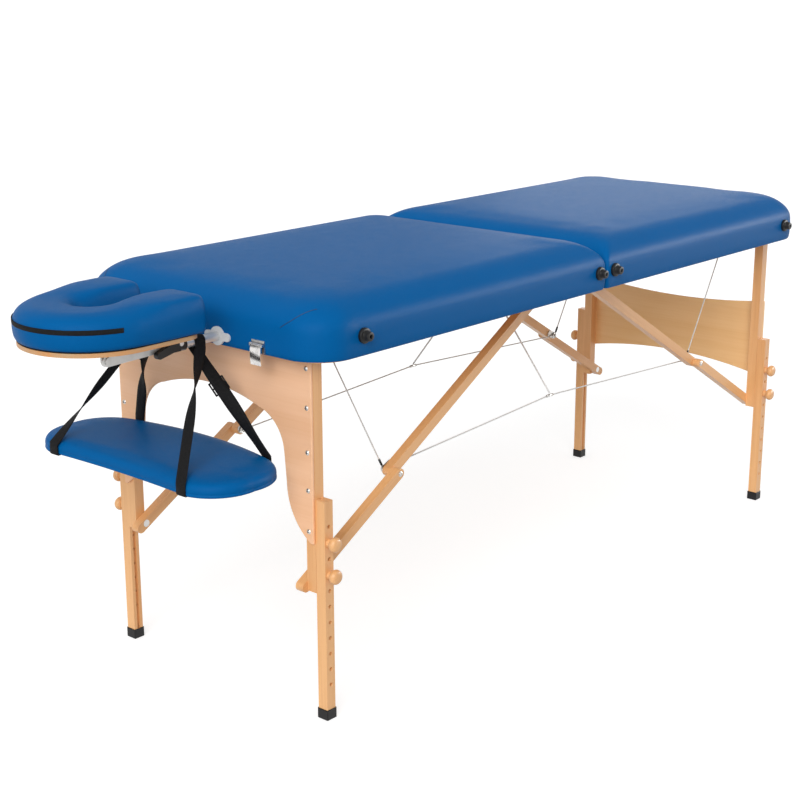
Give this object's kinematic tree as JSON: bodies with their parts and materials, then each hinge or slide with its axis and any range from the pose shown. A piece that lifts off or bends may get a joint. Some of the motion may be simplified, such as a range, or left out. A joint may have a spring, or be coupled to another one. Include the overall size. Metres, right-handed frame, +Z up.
{
  "type": "folding massage table",
  "caption": "Two-section folding massage table with padded top, wooden legs on folding braces and stay cables, adjustable feet, plug-in face cradle and hanging arm shelf.",
  "frame": {"origin": "on the floor, under the centre of the table's bounding box", "axes": "+X from the head end with the face cradle to the foot end, +Y to the side with the carrying straps, +Z up"},
  "size_m": [2.223, 0.732, 0.86],
  "materials": {
    "vinyl": "satin upholstery vinyl, fine grain",
    "beech": "clear satin lacquer, straight grain",
    "plywood": "clear satin lacquer, broad grain",
    "hidden_plywood": "bare sanded plywood",
    "rubber": "matt moulded rubber",
    "black_plastic": "moulded nylon",
    "white_plastic": "smooth moulded plastic",
    "steel": "zinc plated, satin",
    "grey_bar": "satin flat bar",
    "bright_steel": "bright plated",
    "cable": "twisted wire with a clear sleeve",
    "webbing": "woven nylon webbing"
  },
  "bodies": {
    "head_section": {"head_pad": "vinyl", "head_skirt": "vinyl", "head_deck": "hidden_plywood", "head_rails": "beech", "head_pivot_blocks": "beech", "head_hardware": "steel", "head_bumpers": "rubber", "rod_bushes": "white_plastic", "head_handle": "webbing", "head_cables": "cable", "hinge_pins": "steel"},
    "foot_section": {"foot_pad": "vinyl", "foot_skirt": "vinyl", "foot_deck": "hidden_plywood", "foot_rails": "beech", "foot_pivot_blocks": "beech", "foot_hardware": "steel", "foot_bumpers": "rubber", "foot_handle": "webbing", "foot_cables": "cable"},
    "head_legs": {"head_upper_legs": "beech", "head_panel": "plywood", "head_leg_fasteners": "steel"},
    "head_upper_braces": {"head_upper_braces": "beech", "head_cable_hooks": "steel"},
    "head_lower_braces": {"head_lower_braces": "beech"},
    "head_near_lower_leg": {"head_near_lower_leg": "beech", "head_near_foot_cap": "rubber"},
    "head_near_low_knob": {"head_near_low_knob": "beech"},
    "head_near_high_knob": {"head_near_high_knob": "beech"},
    "head_far_lower_leg": {"head_far_lower_leg": "beech", "head_far_foot_cap": "rubber"},
    "head_far_low_knob": {"head_far_low_knob": "beech"},
    "head_far_high_knob": {"head_far_high_knob": "beech"},
    "foot_legs": {"foot_upper_legs": "beech", "foot_panel": "plywood", "foot_leg_fasteners": "steel"},
    "foot_upper_braces": {"foot_upper_braces": "beech", "foot_cable_hooks": "steel"},
    "foot_lower_braces": {"foot_lower_braces": "beech"},
    "foot_near_lower_leg": {"foot_near_lower_leg": "beech", "foot_near_foot_cap": "rubber"},
    "foot_near_low_knob": {"foot_near_low_knob": "beech"},
    "foot_near_high_knob": {"foot_near_high_knob": "beech"},
    "foot_far_lower_leg": {"foot_far_lower_leg": "beech", "foot_far_foot_cap": "rubber"},
    "foot_far_low_knob": {"foot_far_low_knob": "beech"},
    "foot_far_high_knob": {"foot_far_high_knob": "beech"},
    "latch_lever_near": {"latch_lever_near": "bright_steel"},
    "latch_lever_far": {"latch_lever_far": "bright_steel"},
    "cradle": {"cradle_rods": "bright_steel", "cradle_clamps": "black_plastic", "arm_shelf_board": "hidden_plywood", "arm_shelf_pad": "vinyl", "shelf_straps": "webbing"},
    "cradle_arms": {"cradle_arms": "grey_bar"},
    "cradle_platform": {"cradle_plates": "grey_bar", "cradle_base": "plywood", "cradle_cushion": "vinyl"},
    "cam_lever": {"cam_lever": "black_plastic"}
  },
  "joints": [
    {"name": "half_fold", "type": "hinge", "parent": "head_section", "child": "foot_section", "pos_m": [0.1885, 0, 0.7365], "axis": [0, 1, 0], "range_deg": [0, 90]},
    {"name": "head_leg_fold", "type": "hinge", "parent": "head_section", "child": "head_legs", "pos_m": [-0.6715, 0, 0.765], "axis": [0, -1, 0], "range_deg": [0, 90], "deforming": ["head_cables"]},
    {"name": "head_upper_brace_fold", "type": "hinge", "parent": "head_section", "child": "head_upper_braces", "pos_m": [0.1385, 0, 0.751], "axis": [0, 1, 0], "range_deg": [0, 33.58]},
    {"name": "head_lower_brace_fold", "type": "hinge", "parent": "head_legs", "child": "head_lower_braces", "pos_m": [-0.6715, 0, 0.28], "axis": [0, -1, 0], "range_deg": [0, 56.66]},
    {"name": "head_near_leg_slide", "type": "slide", "parent": "head_legs", "child": "head_near_lower_leg", "axis": [0, 0, -1], "range_m": [-0.231, 0.033]},
    {"name": "head_near_low_knob_turn", "type": "hinge", "parent": "head_near_lower_leg", "child": "head_near_low_knob", "pos_m": [-0.6715, -0.2943, 0.306], "axis": [0, -1, 0], "continuous": true},
    {"name": "head_near_high_knob_turn", "type": "hinge", "parent": "head_near_lower_leg", "child": "head_near_high_knob", "pos_m": [-0.6715, -0.2943, 0.372], "axis": [0, -1, 0], "continuous": true},
    {"name": "head_far_leg_slide", "type": "slide", "parent": "head_legs", "child": "head_far_lower_leg", "axis": [0, 0, -1], "range_m": [-0.231, 0.033]},
    {"name": "head_far_low_knob_turn", "type": "hinge", "parent": "head_far_lower_leg", "child": "head_far_low_knob", "pos_m": [-0.6715, 0.2943, 0.306], "axis": [0, 1, 0], "continuous": true},
    {"name": "head_far_high_knob_turn", "type": "hinge", "parent": "head_far_lower_leg", "child": "head_far_high_knob", "pos_m": [-0.6715, 0.2943, 0.372], "axis": [0, 1, 0], "continuous": true},
    {"name": "foot_leg_fold", "type": "hinge", "parent": "foot_section", "child": "foot_legs", "pos_m": [1.0485, 0, 0.765], "axis": [0, 1, 0], "range_deg": [0, 90], "deforming": ["foot_cables"]},
    {"name": "foot_upper_brace_fold", "type": "hinge", "parent": "foot_section", "child": "foot_upper_braces", "pos_m": [0.2385, 0, 0.751], "axis": [0, -1, 0], "range_deg": [0, 33.58]},
    {"name": "foot_lower_brace_fold", "type": "hinge", "parent": "foot_legs", "child": "foot_lower_braces", "pos_m": [1.0485, 0, 0.28], "axis": [0, 1, 0], "range_deg": [0, 56.66]},
    {"name": "foot_near_leg_slide", "type": "slide", "parent": "foot_legs", "child": "foot_near_lower_leg", "axis": [0, 0, -1], "range_m": [-0.231, 0.033]},
    {"name": "foot_near_low_knob_turn", "type": "hinge", "parent": "foot_near_lower_leg", "child": "foot_near_low_knob", "pos_m": [1.0485, -0.2943, 0.306], "axis": [0, -1, 0], "continuous": true},
    {"name": "foot_near_high_knob_turn", "type": "hinge", "parent": "foot_near_lower_leg", "child": "foot_near_high_knob", "pos_m": [1.0485, -0.2943, 0.372], "axis": [0, -1, 0], "continuous": true},
    {"name": "foot_far_leg_slide", "type": "slide", "parent": "foot_legs", "child": "foot_far_lower_leg", "axis": [0, 0, -1], "range_m": [-0.231, 0.033]},
    {"name": "foot_far_low_knob_turn", "type": "hinge", "parent": "foot_far_lower_leg", "child": "foot_far_low_knob", "pos_m": [1.0485, 0.2943, 0.306], "axis": [0, 1, 0], "continuous": true},
    {"name": "foot_far_high_knob_turn", "type": "hinge", "parent": "foot_far_lower_leg", "child": "foot_far_high_knob", "pos_m": [1.0485, 0.2943, 0.372], "axis": [0, 1, 0], "continuous": true},
    {"name": "latch_near_swing", "type": "hinge", "parent": "head_section", "child": "latch_lever_near", "pos_m": [-0.738, -0.19, 0.757], "axis": [0, 1, 0], "range_deg": [0, 110]},
    {"name": "latch_far_swing", "type": "hinge", "parent": "head_section", "child": "latch_lever_far", "pos_m": [-0.738, 0.19, 0.757], "axis": [0, 1, 0], "range_deg": [0, 110]},
    {"name": "cradle_pull", "type": "slide", "parent": "head_section", "child": "cradle", "axis": [-1, 0, 0], "range_m": [0, 0.15]},
    {"name": "cradle_arm_tilt", "type": "hinge", "parent": "cradle", "child": "cradle_arms", "pos_m": [-0.8465, 0, 0.766], "axis": [0, 1, 0], "range_deg": [-15, 18]},
    {"name": "cradle_platform_tilt", "type": "hinge", "parent": "cradle_arms", "child": "cradle_platform", "pos_m": [-1.0095, 0, 0.762], "axis": [0, -1, 0], "range_deg": [0, 35]},
    {"name": "cam_lever_turn", "type": "hinge", "parent": "cradle", "child": "cam_lever", "pos_m": [-0.8465, -0.1, 0.766], "axis": [0, -1, 0], "range_deg": [0, 75]}
  ],
  "couplings": [
    {"joint": "head_upper_brace_fold", "follows": "head_leg_fold", "ratio": 0.36864},
    {"joint": "head_lower_brace_fold", "follows": "head_leg_fold", "ratio": 0.62506},
    {"joint": "foot_upper_brace_fold", "follows": "foot_leg_fold", "ratio": 0.36864},
    {"joint": "foot_lower_brace_fold", "follows": "foot_leg_fold", "ratio": 0.62506}
  ]
}
